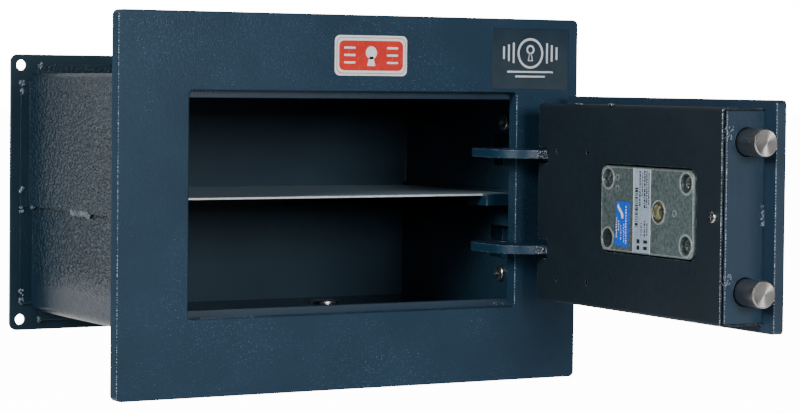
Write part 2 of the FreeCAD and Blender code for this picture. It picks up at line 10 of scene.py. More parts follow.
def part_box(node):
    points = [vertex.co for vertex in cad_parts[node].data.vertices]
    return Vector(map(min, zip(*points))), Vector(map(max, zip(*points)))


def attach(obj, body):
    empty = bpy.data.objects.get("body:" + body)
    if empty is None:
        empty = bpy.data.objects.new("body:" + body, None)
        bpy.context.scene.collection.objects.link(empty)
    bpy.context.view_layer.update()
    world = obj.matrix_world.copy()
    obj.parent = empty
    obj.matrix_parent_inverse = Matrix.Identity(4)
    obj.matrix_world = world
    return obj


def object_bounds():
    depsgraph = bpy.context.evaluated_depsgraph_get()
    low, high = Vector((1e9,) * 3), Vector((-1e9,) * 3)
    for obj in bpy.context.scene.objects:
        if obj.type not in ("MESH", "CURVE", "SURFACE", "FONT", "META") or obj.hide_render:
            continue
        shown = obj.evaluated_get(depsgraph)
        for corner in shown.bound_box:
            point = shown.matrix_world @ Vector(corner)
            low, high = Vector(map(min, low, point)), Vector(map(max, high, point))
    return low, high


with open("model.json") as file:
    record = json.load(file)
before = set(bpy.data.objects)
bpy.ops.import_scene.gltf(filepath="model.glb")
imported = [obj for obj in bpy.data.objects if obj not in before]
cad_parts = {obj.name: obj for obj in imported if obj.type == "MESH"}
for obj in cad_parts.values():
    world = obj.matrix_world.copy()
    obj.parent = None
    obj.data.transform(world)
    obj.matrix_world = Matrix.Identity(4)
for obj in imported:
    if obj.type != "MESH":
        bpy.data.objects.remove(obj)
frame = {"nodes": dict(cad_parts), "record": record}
CAD_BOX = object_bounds()
JOINTS = {j["name"]: j for j in frame["record"]["behaviour"]["joints"]}
MM = 0.001

# ---- places ----
# Pieces are drawn in millimetres from the front face of the frame, door shut: X right, Y into the
# wall, Z up.  FIXED puts them on the safe; DOOR also swings them to the door's rest angle.
front_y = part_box("front_frame")[0][1]
FIXED = Matrix.Translation((0, front_y, 0)) @ Matrix.Scale(MM, 4)
hinge = Vector(JOINTS["door_swing"]["pos_m"])
along = Vector(JOINTS["bolt_slide"]["axis"]).normalized()
inward = Vector(JOINTS["knob_turn"]["axis"]).normalized()
up = Vector((0, 0, 1))
turn = Matrix((along, inward, up)).transposed().to_4x4()
hinge_shut = Vector((hinge.x, hinge.y - front_y, 0)) / MM
DOOR = (Matrix.Translation((hinge.x, hinge.y, 0)) @ turn @ Matrix.Scale(MM, 4)
        @ Matrix.Translation(-hinge_shut))

# ---- driving places and sizes, in the drawing's millimetres ----
LABEL_FACE = -0.2           # front of the two labels on the frame
INK = 0.08                  # one layer of print
LABEL_X = 9.3               # middle of the white label
EMBLEM_X, EMBLEM_Z = 143.2, 107.3
LOCK_X = -32.2              # middle of the lock
LOCK_PITCH_X, LOCK_PITCH_Z = 95.0, 41.3
LOCK_FACE = 43.4            # just under the face of the lock lid
PRINT_FACE = 43.7           # front of the strip and the sticker
SPINDLE_X = -47.5
BOLT_PLATE_X = -117.3       # outer face of the bolt plate
SHELL_X, SEAM_Z = 163.2, -11.0   # side of the body and the seam between its shells
FLANGE_X, FLANGE_Y = 170.2, 210.2
LIP_Y = 10.6                # welds behind the frame
WALL_X = 161.1              # inner corner at the rear plate
SHELF_HALF, SHELF_FRONT = 157.8, 45.9
KEYPAD_X, KEYPAD_FACE = -48.0, -21.8
KEY_COLUMN, KEY_ROW, TOP_KEY_Z = 19.0, 16.0, 33.0
KNOB_X, KNOB_FACE = 66.5, -31.05


# ---- materials ----
class Graph:
    """A material with a Principled shader and short ways to add and join nodes."""

    def __init__(self, name):
        self.mat = bpy.data.materials.new(name)
        self.mat.use_nodes = True
        self.tree = self.mat.node_tree
        self.tree.nodes.clear()
        self.out = self.add("ShaderNodeOutputMaterial")
        self.bsdf = self.add("ShaderNodeBsdfPrincipled")
        self.join(self.bsdf.outputs[0], self.out.inputs[0])
        self.place = self.add("ShaderNodeTexCoord").outputs["Object"]

    def add(self, kind, props=None, **inputs):
        node = self.tree.nodes.new(kind)
        for key, value in (props or {}).items():
            setattr(node, key, value)
        for key, value in inputs.items():
            socket = node.inputs[key.replace("_", " ")]
            if isinstance(value, bpy.types.NodeSocket):
                self.join(value, socket)
            else:
                socket.default_value = value
        return node

    def join(self, a, b):
        self.tree.links.new(a, b)

    def put(self, **values):
        """Sets the shader's own sockets, or joins a node's output to them."""
        for key, value in values.items():
            socket = self.bsdf.inputs[key.replace("_", " ")]
            if isinstance(value, bpy.types.NodeSocket):
                self.join(value, socket)
            else:
                socket.default_value = value

    def noise(self, scale, detail=2.0, rough=0.5, vector=None):
        return self.add("ShaderNodeTexNoise", Vector=vector or self.place, Scale=scale, Detail=detail,
                        Roughness=rough).outputs["Fac"]

    def span(self, value, lo, hi, out_lo, out_hi):
        node = self.add("ShaderNodeMapRange", Value=value)
        for i, number in enumerate((lo, hi, out_lo, out_hi), 1):
            node.inputs[i].default_value = number
        return node.outputs["Result"]

    def math(self, op, a, b=0.0, c=0.0):
        node = self.add("ShaderNodeMath", {"operation": op})
        for i, value in enumerate((a, b, c)):
            if isinstance(value, bpy.types.NodeSocket):
                self.join(value, node.inputs[i])
            else:
                node.inputs[i].default_value = value
        return node.outputs[0]

    def mix(self, fac, a, b):
        node = self.add("ShaderNodeMix", {"data_type": "RGBA"})
        self.join(fac, node.inputs[0])
        for index, value in ((6, a), (7, b)):
            if isinstance(value, bpy.types.NodeSocket):
                self.join(value, node.inputs[index])
            else:
                node.inputs[index].default_value = (*value, 1.0)
        return node.outputs[2]

    def bump(self, height, strength, distance, below=None):
        node = self.add("ShaderNodeBump", Height=height, Strength=strength, Distance=distance)
        if below:
            self.join(below, node.inputs["Normal"])
        return node.outputs["Normal"]

    def soft_edge(self, radius):
        return self.add("ShaderNodeBevel", {"samples": 6}, Radius=radius).outputs["Normal"]


def hammered(name, dark, light, cell=900.0, depth=0.0001, rough=(0.30, 0.42), strength=0.3, edge=0.0009,
             gloss=0.5, glint=0.0, stretch=None, room=None, run=None,
             side=None, speck_glints=0.0):
    """Hammer-finish paint: rounded dimples and a fine grain; glint paints pale highlights on the edges.

    stretch scales the dimples along each axis.  room holds the half width, the half height and the
    back of a space where the paint lies thin and smooth; between the two heights of run it flows smooth.
    Beyond side, measured along X, the paint is dull.  speck_glints is how bright the pale specks are that
    paint scattered glints.
    """
    g = Graph(name)
    where = g.place
    if stretch:
        where = g.add("ShaderNodeVectorMath", {"operation": "MULTIPLY"}).outputs[0]
        g.join(g.place, where.node.inputs[0])
        where.node.inputs[1].default_value = stretch
    dimples = g.noise(cell, 1.5, 0.5, where)
    ripple = g.noise(cell * 0.42, 2.0, 0.5, where)
    grain = g.noise(cell * 3.6, 2.0, 0.6)
    height = g.math("ADD", g.math("MULTIPLY", g.span(dimples, 0.36, 0.64, 0.0, 1.0), 0.8),
                    g.math("MULTIPLY", ripple, 0.7))
    if room:
        axes = g.add("ShaderNodeSeparateXYZ", Vector=g.place).outputs
        past = [g.math("GREATER_THAN", g.math("ABSOLUTE", axes[axis]), half)
                for axis, half in zip(("X", "Z"), room)]
        off = g.math("MAXIMUM", *past)
        off = g.math("MULTIPLY", off, g.math("LESS_THAN", axes["Y"], room[2]))
        height = g.math("MULTIPLY", height, g.span(off, 0.0, 1.0, 0.12, 1.0))
    if run:
        level = g.math("MULTIPLY_ADD", g.noise(60.0, 2.0), 0.016, g.math("SUBTRACT", axes["Z"], 0.008))
        height = g.math("MULTIPLY", height, g.span(level, *run, 0.08, 1.0))
    tone = g.mix(g.span(g.noise(22.0, 3.0, 0.55), 0.3, 0.7, 0.0, 1.0), dark, light)
    # Painted highlights: pale specks, gathered in patches, stand in for glints of light on the paint.
    if speck_glints:
        specks = g.span(g.noise(1000.0, 1.0, 0.5), 0.66, 0.72, 0.0, speck_glints)
        patches = g.span(g.noise(11.0, 2.0, 0.5), 0.42, 0.62, 0.0, 1.0)
        tone = g.mix(g.math("MULTIPLY", specks, patches), tone, (0.20, 0.30, 0.40))
    # Painted highlights: pale specks on the rounded edges stand in for the glints where the edges catch the
    # light.
    if glint:
        facing = g.add("ShaderNodeVectorMath", {"operation": "DOT_PRODUCT"})
        g.join(g.soft_edge(0.0011), facing.inputs[0])
        g.join(g.add("ShaderNodeNewGeometry").outputs["Normal"], facing.inputs[1])
        edge_glint_mask = g.span(facing.outputs["Value"], 0.985, 0.90, 0.0, 1.0)
        speck_glints = g.span(g.noise(640.0, 1.0, 0.5), 0.50, 0.60, 0.0, glint)
        tone = g.mix(g.math("MULTIPLY", edge_glint_mask, speck_glints), tone, (0.42, 0.50, 0.58))
    g.put(Base_Color=tone, Roughness=g.span(g.noise(cell * 0.3, 2.0), 0.3, 0.7, *rough))
    g.put(Specular_IOR_Level=gloss)
    if side:
        reach = g.math("ABSOLUTE", g.add("ShaderNodeSeparateXYZ", Vector=g.place).outputs["X"])
        g.put(Specular_IOR_Level=g.span(reach, side, side + 0.0002, gloss, 0.02))
    rise = g.bump(height, strength, depth, g.soft_edge(edge))
    g.put(Normal=g.bump(grain, strength * 0.4, depth * 0.25, rise))
    return g.mat


def metal(name, dark, light, rough=(0.25, 0.45), scale=180.0, grain=1400.0, bump=0.1, metallic=1.0,
          edge=0.0004):
    """Bare or plated metal with cloudy tone, fine grain and soft edges."""
    g = Graph(name)
    cloud = g.noise(scale, 4.0, 0.65)
    g.put(Base_Color=g.mix(g.span(cloud, 0.32, 0.68, 0.0, 1.0), dark, light), Metallic=metallic)
    g.put(Roughness=g.span(g.noise(scale * 2.3, 3.0), 0.3, 0.7, *rough))
    g.put(Normal=g.bump(g.noise(grain, 3.0, 0.6), bump, 0.0002, g.soft_edge(edge)))
    return g.mat


def plastic(name, dark, light, rough=(0.35, 0.5), grain=2600.0, bump=0.12, edge=0.0005):
    """Moulded plastic or rubber with a spark-eroded grain."""
    g = Graph(name)
    g.put(Base_Color=g.mix(g.span(g.noise(60.0, 3.0), 0.3, 0.7, 0.0, 1.0), dark, light))
    g.put(Roughness=g.span(g.noise(220.0, 2.0), 0.3, 0.7, *rough))
    g.put(Normal=g.bump(g.noise(grain, 2.0, 0.6), bump, 0.0001, g.soft_edge(edge)))
    return g.mat


def turned(name, centre, axis, pitch):
    """Steel turned on a lathe: fine rings round an axis and stretched highlights."""
    g = Graph(name)
    arm = g.add("ShaderNodeVectorMath", {"operation": "SUBTRACT"})
    g.join(g.place, arm.inputs[0])
    arm.inputs[1].default_value = centre
    side = g.add("ShaderNodeVectorMath", {"operation": "CROSS_PRODUCT"})
    g.join(arm.outputs[0], side.inputs[0])
    side.inputs[1].default_value = axis
    radius = g.add("ShaderNodeVectorMath", {"operation": "LENGTH"})
    g.join(side.outputs[0], radius.inputs[0])
    ring = g.math("SINE", g.math("MULTIPLY", radius.outputs["Value"], 2 * math.pi / pitch))
    cloud = g.span(g.noise(120.0, 2.0, 0.5), 0.3, 0.7, 0.0, 1.0)
    g.put(Base_Color=g.mix(cloud, (0.40, 0.385, 0.37), (0.50, 0.485, 0.47)), Metallic=1.0)
    g.put(Roughness=g.span(ring, -1.0, 1.0, 0.32, 0.40), Anisotropic=0.85)
    g.put(Tangent=g.add("ShaderNodeTangent", {"direction_type": "RADIAL", "axis": "Y"}).outputs[0])
    g.put(Normal=g.bump(ring, 0.06, 0.00001, g.soft_edge(0.0003)))
    return g.mat


bolt_axis = tuple(along)


def bolt_centre(node):
    lo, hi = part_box(node)
    return tuple((a + b) / 2 for a, b in zip(lo, hi))


NAVY = (0.0062, 0.0285, 0.056), (0.0080, 0.035, 0.067)
DEEP_NAVY = (0.0095, 0.0270, 0.045), (0.0125, 0.034, 0.054)
# The frame's paint carries painted highlights: scattered pale specks that stand in for glints.
FRAME_PAINT = hammered("frame_paint", (0.0120, 0.0345, 0.062), (0.0145, 0.041, 0.073), strength=0.6,
                       depth=0.00012, rough=(0.30, 0.34), gloss=0.22, side=0.1846, speck_glints=0.7)
DOOR_PAINT = hammered("door_paint", (0.0120, 0.0320, 0.058), (0.0145, 0.038, 0.069), strength=0.5)
# Painted highlights on the cover's edges: pale specks stand in for glints (glint).
COVER_PAINT = hammered("cover_paint", (0.0060, 0.0140, 0.0205), (0.0078, 0.0165, 0.0240), rough=(0.5, 0.6),
                       strength=0.15, gloss=0.3, glint=0.35)
# Pale specks on the arms' edges paint highlights here too (glint).
ARM_PAINT = hammered("arm_paint", *NAVY, strength=0.5, glint=0.5)
SHELL_LOOK = dict(cell=480.0, depth=0.0011, strength=1.0, rough=(0.18, 0.25), stretch=(1.0, 0.5, 1.0))
UPPER_PAINT = hammered("upper_shell_paint", *DEEP_NAVY, room=(0.1628, 0.0879, -0.0053), **SHELL_LOOK)
LOWER_PAINT = hammered("lower_shell_paint", *DEEP_NAVY, room=(0.1603, 0.0879, -0.0053), run=(-0.070, -0.052),
                       **SHELL_LOOK)
INNER_PAINT = hammered("inner_paint", *DEEP_NAVY, rough=(0.45, 0.55), strength=0.15, gloss=0.25)
# Painted light: the shelf is far paler than the navy walls, standing in for the light that falls on its top.
PALE_LIT_SHELF_PAINT = hammered("shelf_paint_with_painted_light", (0.26, 0.37, 0.46), (0.30, 0.42, 0.51), rough=(0.4, 0.5), strength=0.15)
ZINC = metal("zinc_die_cast", (0.095, 0.14, 0.145), (0.27, 0.345, 0.345), rough=(0.45, 0.6), scale=420.0,
             bump=0.4, metallic=0.75)
# Painted highlights: the lock's raised lips and rim are a lighter metal than the lid, for the highlights their
# edges catch.
RIM_HIGHLIGHT_METAL = metal("cast_rim_painted_highlight", (0.26, 0.32, 0.32), (0.56, 0.62, 0.61), rough=(0.4, 0.55), scale=420.0,
                  metallic=0.6)
PLATED = metal("zinc_plated", (0.45, 0.46, 0.46), (0.75, 0.75, 0.73), rough=(0.18, 0.35))
STEEL = metal("bare_steel", (0.35, 0.35, 0.34), (0.6, 0.6, 0.58), rough=(0.25, 0.4))
# Bright weld metal; on the arms its drops are painted highlights.
WELD_AND_GLINT_METAL = metal("weld_and_glint_metal", (0.20, 0.21, 0.23), (0.55, 0.57, 0.60), rough=(0.2, 0.5), scale=700.0, bump=0.5)
BRASS = metal("turned_brass", (0.62, 0.58, 0.40), (0.80, 0.76, 0.56), rough=(0.25, 0.4))
BLACK = plastic("black_plastic", (0.010, 0.010, 0.011), (0.016, 0.016, 0.018))
WELD_PAINT = plastic("weld_paint", (0.06, 0.085, 0.10), (0.20, 0.25, 0.29), rough=(0.10, 0.25), bump=0.3)
# Partly painted highlight: drops of weld and paint, made pale to stand in for the glints on them.
GLINT_PAINTED_DROPS = plastic("drops_with_painted_glints", (0.10, 0.15, 0.19), (0.30, 0.36, 0.42), rough=(0.08, 0.2), bump=0.3)
# Painted highlights: pale beads that stand in for the dotted glints along lit edges.
EDGE_HIGHLIGHT_BEADS = plastic("painted_edge_highlights", (0.34, 0.40, 0.46), (0.62, 0.68, 0.74), rough=(0.08, 0.2), bump=0.1)
RUBBER = plastic("key_rubber", (0.20, 0.205, 0.21), (0.26, 0.265, 0.27), rough=(0.5, 0.65))
BOARD = plastic("circuit_board", (0.010, 0.09, 0.035), (0.016, 0.13, 0.05), rough=(0.3, 0.4))
WHITE_GLOSS = plastic("label_white", (0.80, 0.80, 0.80), (0.87, 0.87, 0.87), rough=(0.15, 0.25), bump=0.03)
CLEAR_FILM = plastic("label_clear", (0.008, 0.024, 0.042), (0.012, 0.032, 0.052), rough=(0.10, 0.16),
                     bump=0.02)
SILVER_LABEL = plastic("label_silver", (0.30, 0.38, 0.47), (0.36, 0.45, 0.54), rough=(0.2, 0.35), bump=0.03)
BLUE_LABEL = plastic("label_blue", (0.010, 0.10, 0.60), (0.014, 0.12, 0.68), rough=(0.2, 0.35), bump=0.03)
RED_INK = plastic("red_ink", (0.60, 0.02, 0.015), (0.70, 0.03, 0.02), rough=(0.2, 0.3), bump=0.03)
DARK_INK = plastic("dark_ink", (0.02, 0.02, 0.022), (0.03, 0.03, 0.033), rough=(0.3, 0.4), bump=0.03)
INSERT = plastic("nylon_insert", (0.20, 0.21, 0.14), (0.26, 0.27, 0.18), rough=(0.4, 0.55))
# Partly painted highlight: a reddish filler, made lighter than its own colour to show in the unlit corners.
FILLER_WITH_PAINTED_HIGHLIGHT = plastic("seam_line_painted_highlight", (0.20, 0.14, 0.13), (0.26, 0.18, 0.16), rough=(0.4, 0.5))
# Partly painted highlight: bare steel, but near white to stand in for the light on the shelf's front edge.
BARE_EDGE_HIGHLIGHT = metal("bare_edge_highlight", (0.62, 0.64, 0.66), (0.85, 0.87, 0.9), rough=(0.35, 0.55), scale=300.0,
                  metallic=0.3)
PALE_INK = plastic("pale_ink", (0.62, 0.66, 0.70), (0.72, 0.76, 0.80), rough=(0.3, 0.4), bump=0.03)

LOOKS = {
    FRAME_PAINT: ["front_frame"],
    DOOR_PAINT: ["door_plate", "side_plate", "door_stop_top", "door_stop_bottom"],
    COVER_PAINT: ["inner_cover"],
    ARM_PAINT: ["hinge_arm_upper", "hinge_arm_lower", "shelf_lugs", "hinge_housing"],
    UPPER_PAINT: ["upper_shell"],
    LOWER_PAINT: ["lower_shell"],
    PALE_LIT_SHELF_PAINT: ["shelf"],
    INNER_PAINT: ["rear_plate", "hinge_brackets"],
    ZINC: ["lock_case", "lock_lid"],
    PLATED: ["housing_screws", "floor_plug", "cover_screw", "lock_screws", "bolt_carriage", "drive_cam",
             "knob_bush"],
    STEEL: ["hinge_pins", "lock_pillars", "guide_studs", "knob_shaft"],
    BRASS: ["spindle_tube", "lock_bolt"],
    BLACK: ["lock_solenoid", "keypad_base", "keypad_posts", "battery_lid", "knob"],
    RUBBER: [n for n in frame["nodes"] if n.startswith("key_")],
    BOARD: ["keypad_board"],
    WHITE_GLOSS: ["frame_label_white"],
    CLEAR_FILM: ["frame_label_clear"],
    SILVER_LABEL: ["lock_strip"],
    BLUE_LABEL: ["lock_sticker"],
    turned("turned_upper", bolt_centre("bolt_upper"), bolt_axis, 0.0006): ["bolt_upper"],
    turned("turned_lower", bolt_centre("bolt_lower"), bolt_axis, 0.0006): ["bolt_lower"],
}
for look, names in LOOKS.items():
    for node_name in names:
        node = frame["nodes"][node_name]
        node.data.materials.clear()
        node.data.materials.append(look)


# ---- mesh helpers ----
def shape(name, bm, place, body, look, bevel=0.0):
    """Turns a bmesh drawn in millimetres into a piece that rides on a body."""
    bmesh.ops.recalc_face_normals(bm, faces=bm.faces)
    mesh = bpy.data.meshes.new(name)
    bm.to_mesh(mesh)
    bm.free()
    mesh.transform(place)
    mesh.materials.append(look)
    mesh.polygons.foreach_set("use_smooth", [True] * len(mesh.polygons))
    mesh.set_sharp_from_angle(angle=math.radians(35))
    piece = bpy.data.objects.new(name, mesh)
    bpy.context.scene.collection.objects.link(piece)
    if bevel:
        edge = piece.modifiers.new("edge", "BEVEL")
        edge.width = bevel * MM
        edge.segments = 2
        edge.limit_method = "ANGLE"
        edge.angle_limit = math.radians(40)
    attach(piece, body)
    return piece


def rounded(x0, x1, z0, z1, r, steps=5):
    """Outline of a rectangle with round corners, anticlockwise."""
    points = []
    corners = ((x1 - r, z1 - r, 0), (x0 + r, z1 - r, 90), (x0 + r, z0 + r, 180), (x1 - r, z0 + r, 270))
    for cx, cz, start in corners:
        for i in range(steps + 1):
            a = math.radians(start + 90 * i / steps)
            points.append((cx + r * math.cos(a), cz + r * math.sin(a)))
    return points


def circle(x, z, r, count=40):
    angles = [2 * math.pi * i / count for i in range(count)]
    return [(x + r * math.cos(a), z + r * math.sin(a)) for a in angles]


def prism(bm, outline, y0, y1):
    """Adds an outline in X-Z carried from y0 to y1."""
    rings = [[bm.verts.new((x, y, z)) for x, z in outline] for y in (y0, y1)]
    count = len(outline)
    for i in range(count):
        j = (i + 1) % count
        bm.faces.new((rings[0][i], rings[0][j], rings[1][j], rings[1][i]))
    bm.faces.new(rings[0][::-1])
    bm.faces.new(rings[1])


def ring(bm, outer, inner, y0, y1):
    """Adds the band between two outlines with the same number of points."""
    loops = [[bm.verts.new((x, y, z)) for x, z in line] for y in (y0, y1) for line in (outer, inner)]
    count = len(outer)
    for a, b in ((0, 1), (1, 3), (3, 2), (2, 0)):
        for i in range(count):
            j = (i + 1) % count
            bm.faces.new((loops[a][i], loops[a][j], loops[b][j], loops[b][i]))


def blob(bm, centre, size, seed, detail=3):
    """Adds a lump of weld: an uneven, flattened ball."""
    dice = random.Random(seed)
    made = bmesh.ops.create_icosphere(bm, subdivisions=detail, radius=1.0)["verts"]
    waves = [(dice.uniform(2, 4), dice.uniform(0, 6), dice.uniform(0.05, 0.12)) for _ in range(4)]
    for v in made:
        swell = 1 + sum(k * math.sin(f * (v.co.x + 2 * v.co.y + 3 * v.co.z) + s) for f, s, k in waves)
        v.co = Vector(centre) + Vector(c * d * swell for c, d in zip(v.co, size))


# ---- labels ----
def frame_labels():
    """A plain white label with a keyhole on a red tablet, and a fine emblem under the clear film."""
    first, second = LABEL_FACE - INK, LABEL_FACE - 2 * INK
    bm = bmesh.new()
    prism(bm, rounded(-16.6, 35.2, 93.2, 114.3, 4.0), first, LABEL_FACE)
    shape("label_tablet", bm, FIXED, "safe_body", RED_INK)
    bm = bmesh.new()
    prism(bm, circle(LABEL_X, 105.8, 4.6), second, first)
    skirt = [(LABEL_X + x, z) for x, z in ((-1.6, 103.0), (-3.4, 96.4), (3.4, 96.4), (1.6, 103.0))]
    prism(bm, skirt, second, first)
    for x in (-12.6, 22.0):
        for z in (98.0, 103.2, 108.4):
            prism(bm, rounded(x, x + 9.2, z, z + 1.6, 0.7), second, first)
    shape("label_keyhole", bm, FIXED, "safe_body", WHITE_GLOSS)
    bm = bmesh.new()
    ring(bm, rounded(-18.6, 37.2, 91.0, 116.5, 4.4), rounded(-18.2, 36.8, 91.4, 116.1, 4.0),
         LABEL_FACE - 0.05, LABEL_FACE)
    shape("label_line", bm, FIXED, "safe_body", RED_INK)
    bm = bmesh.new()
    ring(bm, circle(EMBLEM_X, EMBLEM_Z, 11.2, 48), circle(EMBLEM_X, EMBLEM_Z, 9.5, 48), first, LABEL_FACE)
    ring(bm, circle(EMBLEM_X, 110.0, 3.5), circle(EMBLEM_X, 110.0, 2.1), first, LABEL_FACE)
    outer, inner = [[(EMBLEM_X - top, z_top), (EMBLEM_X - foot, z_foot), (EMBLEM_X + foot, z_foot),
                     (EMBLEM_X + top, z_top)]
                    for top, z_top, foot, z_foot in ((1.0, 107.4, 2.3, 101.6), (0.5, 107.0, 1.3, 102.4))]
    ring(bm, outer, inner, first, LABEL_FACE)
    for z, half in ((93.0, 20.0), (89.6, 13.0)):
        prism(bm, rounded(EMBLEM_X - half, EMBLEM_X + half, z, z + 1.4, 0.4), first, LABEL_FACE)
    for side in (-1, 1):
        for k in range(3):
            x = EMBLEM_X + side * (14.5 + 4.2 * k)
            prism(bm, rounded(x - 0.8, x + 0.8, 100.0 + 1.4 * k, 115.0 - 1.4 * k, 0.4), first, LABEL_FACE)
    shape("film_emblem", bm, FIXED, "safe_body", PALE_INK)


def block(bm, x0, x1, z0, z1, thick):
    """Adds a rectangle of print that stands on the face of the lock's labels."""
    prism(bm, [(x0, z0), (x1, z0), (x1, z1), (x0, z1)], PRINT_FACE, PRINT_FACE + thick)


def print_column(bm, dice, x, z0, z1, width, longest, gap):
    """Adds a column of blocks of uneven length, from z1 down to z0; gap gives the spaces."""
    z = z1
    while z > z0:
        step = dice.uniform(0.6, longest)
        block(bm, x, x + width, z - step, z, 0.06)
        z -= step + gap()


def lock_labels():
    """Print on the silver strip and the blue sticker: plain bars and blocks that say nothing."""
    dice = random.Random(11)
    bm = bmesh.new()
    columns = ((-25.6, 3.0, 27.0, 1.5), (-28.2, 10.0, 26.0, 1.0), (-31.4, 2.0, 27.0, 1.5),
               (-33.8, 3.0, 27.0, 1.3), (-36.2, 4.0, 26.0, 1.0), (-27.4, -17.0, -8.0, 1.0),
               (-31.6, -16.5, -6.5, 1.3), (-34.4, -16.0, -8.0, 1.0))
    for x, z0, z1, width in columns:
        print_column(bm, dice, x, z0, z1, width, 2.2, lambda: dice.uniform(0.4, 0.9))
    z = 15.5
    while z > -11.0:
        step = dice.choice((0.4, 0.7, 1.1, 1.6))
        block(bm, -22.6, -19.2, z - step, z, 0.06)
        z -= step + dice.choice((0.5, 0.8))
    for z in (-20.8, -25.2):
        prism(bm, rounded(-25.0, -21.6, z - 1.4, z + 1.4, 0.6), PRINT_FACE, PRINT_FACE + 0.06)
        prism(bm, rounded(-34.4, -29.6, z - 1.1, z + 1.1, 0.3), PRINT_FACE, PRINT_FACE + 0.06)
    shape("strip_print", bm, DOOR, "door", DARK_INK)
    bm = bmesh.new()
    for x0, x1 in ((-38.0, -37.3), (-17.3, -16.6)):
        block(bm, x0, x1, -28.6, 28.6, 0.08)
    shape("strip_border", bm, DOOR, "door", WHITE_GLOSS)
    bm = bmesh.new()
    swoosh = [(2.0, 3.6), (-4.4, -3.0), (-4.6, -6.5), (-2.2, -6.4), (-1.8, -3.6), (3.2, 1.2)]
    prism(bm, swoosh, PRINT_FACE, PRINT_FACE + 0.06)
    for x, z0, z1, width in ((3.2, -20.0, -6.0, 1.2), (0.6, -14.0, -8.0, 0.9), (-2.2, -20.0, -11.0, 0.9),
                             (-8.6, -23.0, 2.5, 1.3), (-5.8, -22.0, -10.0, 0.8)):
        print_column(bm, dice, x, z0, z1, width, 1.8, lambda: 0.7)
    shape("sticker_print", bm, DOOR, "door", WHITE_GLOSS)


# ---- lock face ----
LOCK_HOLES = [(LOCK_X + sx * LOCK_PITCH_X / 2, sz * LOCK_PITCH_Z / 2) for sx in (1, -1) for sz in (1, -1)]


def lock_face():
    """Raised lips round the screw wells and the spindle hole, shallow ejector marks and a cast rim, in a
    lighter metal that paints the highlights on their edges.
    """
    bm = bmesh.new()
    for x, z in LOCK_HOLES:
        ring(bm, circle(x, z, 8.0), circle(x, z, 6.5), LOCK_FACE, LOCK_FACE + 0.45)
    for x, z in ((3.6, 14.0), (3.6, 21.5), (-66.0, 0.0)):
        ring(bm, circle(x, z, 2.3), circle(x, z, 1.7), LOCK_FACE, LOCK_FACE + 0.2)
    half_w, half_h, band = 55.5, 28.6, 0.5
    outer = rounded(LOCK_X - half_w, LOCK_X + half_w, -half_h, half_h, 5.2)
    inner = rounded(LOCK_X - half_w + band, LOCK_X + half_w - band, -half_h + band, half_h - band, 5.2 - band)
    ring(bm, outer, inner, LOCK_FACE, LOCK_FACE + 0.22)
    shape("lock_lips", bm, DOOR, "door", RIM_HIGHLIGHT_METAL, bevel=0.15)
    bm = bmesh.new()
    ring(bm, circle(SPINDLE_X, 0, 8.3), circle(SPINDLE_X, 0, 7.25), LOCK_FACE, LOCK_FACE + 0.7)
    shape("spindle_lip", bm, DOOR, "door", RIM_HIGHLIGHT_METAL, bevel=0.25)
    bm = bmesh.new()
    ring(bm, circle(SPINDLE_X, 0, 4.9), circle(SPINDLE_X, 0, 3.2), 37.0, 41.5)
    shape("spindle_insert", bm, DOOR, "door", INSERT, bevel=0.3)


# ---- welds, and drops that paint glints ----
def weld(name, place, body, look, lumps):
    bm = bmesh.new()
    for i, (centre, size) in enumerate(lumps):
        blob(bm, centre, size, i + len(name))
    return shape(name, bm, place, body, look)


def spatter(name, place, body, look, patches):
    """Small drops: weld spatter, and pale drops that paint glints; a patch is its centre, its half sizes, a
    count and the radius of a drop.
    """
    bm = bmesh.new()
    dice = random.Random(len(name))
    for centre, reach, count, radius in patches:
        for i in range(count):
            spot = [c + dice.uniform(-d, d) for c, d in zip(centre, reach)]
            blob(bm, spot, [radius * dice.uniform(0.5, 1.2) for _ in range(3)], i, detail=2)
    return shape(name, bm, place, body, look)


def bead(x, z, ys, radius, seed):
    """Lumps of one weld bead along Y."""
    dice = random.Random(seed)
    lumps, y = [], ys[0]
    while y > ys[1]:
        size = radius * dice.uniform(0.6, 1.25) * min(1.0, 0.45 + (ys[0] - y) / 8, 0.45 + (y - ys[1]) / 8)
        lumps.append(((x, y, z + dice.uniform(-1.0, 1.0)), (size * 0.8, size * 1.3, size)))
        y -= 1.4
    return lumps


def door_welds_and_glint_drops():
    weld("cover_weld", DOOR, "door", WELD_AND_GLINT_METAL,
         [((61.4, 40.6, 71.1), (3.6, 1.8, 0.9)), ((57.0, 40.4, 71.0), (2.2, 1.6, 0.7)),
          ((16.5, 40.6, 71.1), (3.8, 1.8, 0.8))])
    weld("bolt_plate_weld", DOOR, "door", ARM_PAINT,
         [((-117.4, 8.6, 6.6), (1.2, 2.4, 2.2)), ((-117.4, 8.6, -4.6), (1.2, 2.4, 2.0)),
          ((-117.2, 8.3, 1.0), (0.9, 1.6, 5.0))])
    # Pale drops paint the glints on the weld spatter by the bolt plate.
    corners = [((BOLT_PLATE_X, 36.6, z), (0.1, 3.4, 4.2), 34, 0.5) for z in (55.0, -41.0)]
    middle = ((BOLT_PLATE_X, 9.0, 1.0), (0.3, 1.6, 6.5), 14, 0.5)
    spatter("bolt_plate_spatter", DOOR, "door", GLINT_PAINTED_DROPS, corners + [middle])
    # Painted highlights: bright drops stand in for the glints on the arms' faces.
    spatter("arm_spatter", DOOR, "door", WELD_AND_GLINT_METAL,
            [((98.3, 46.0, side * 34.4), (0.4, 5.5, 2.6), 34, 0.55) for side in (1, -1)])


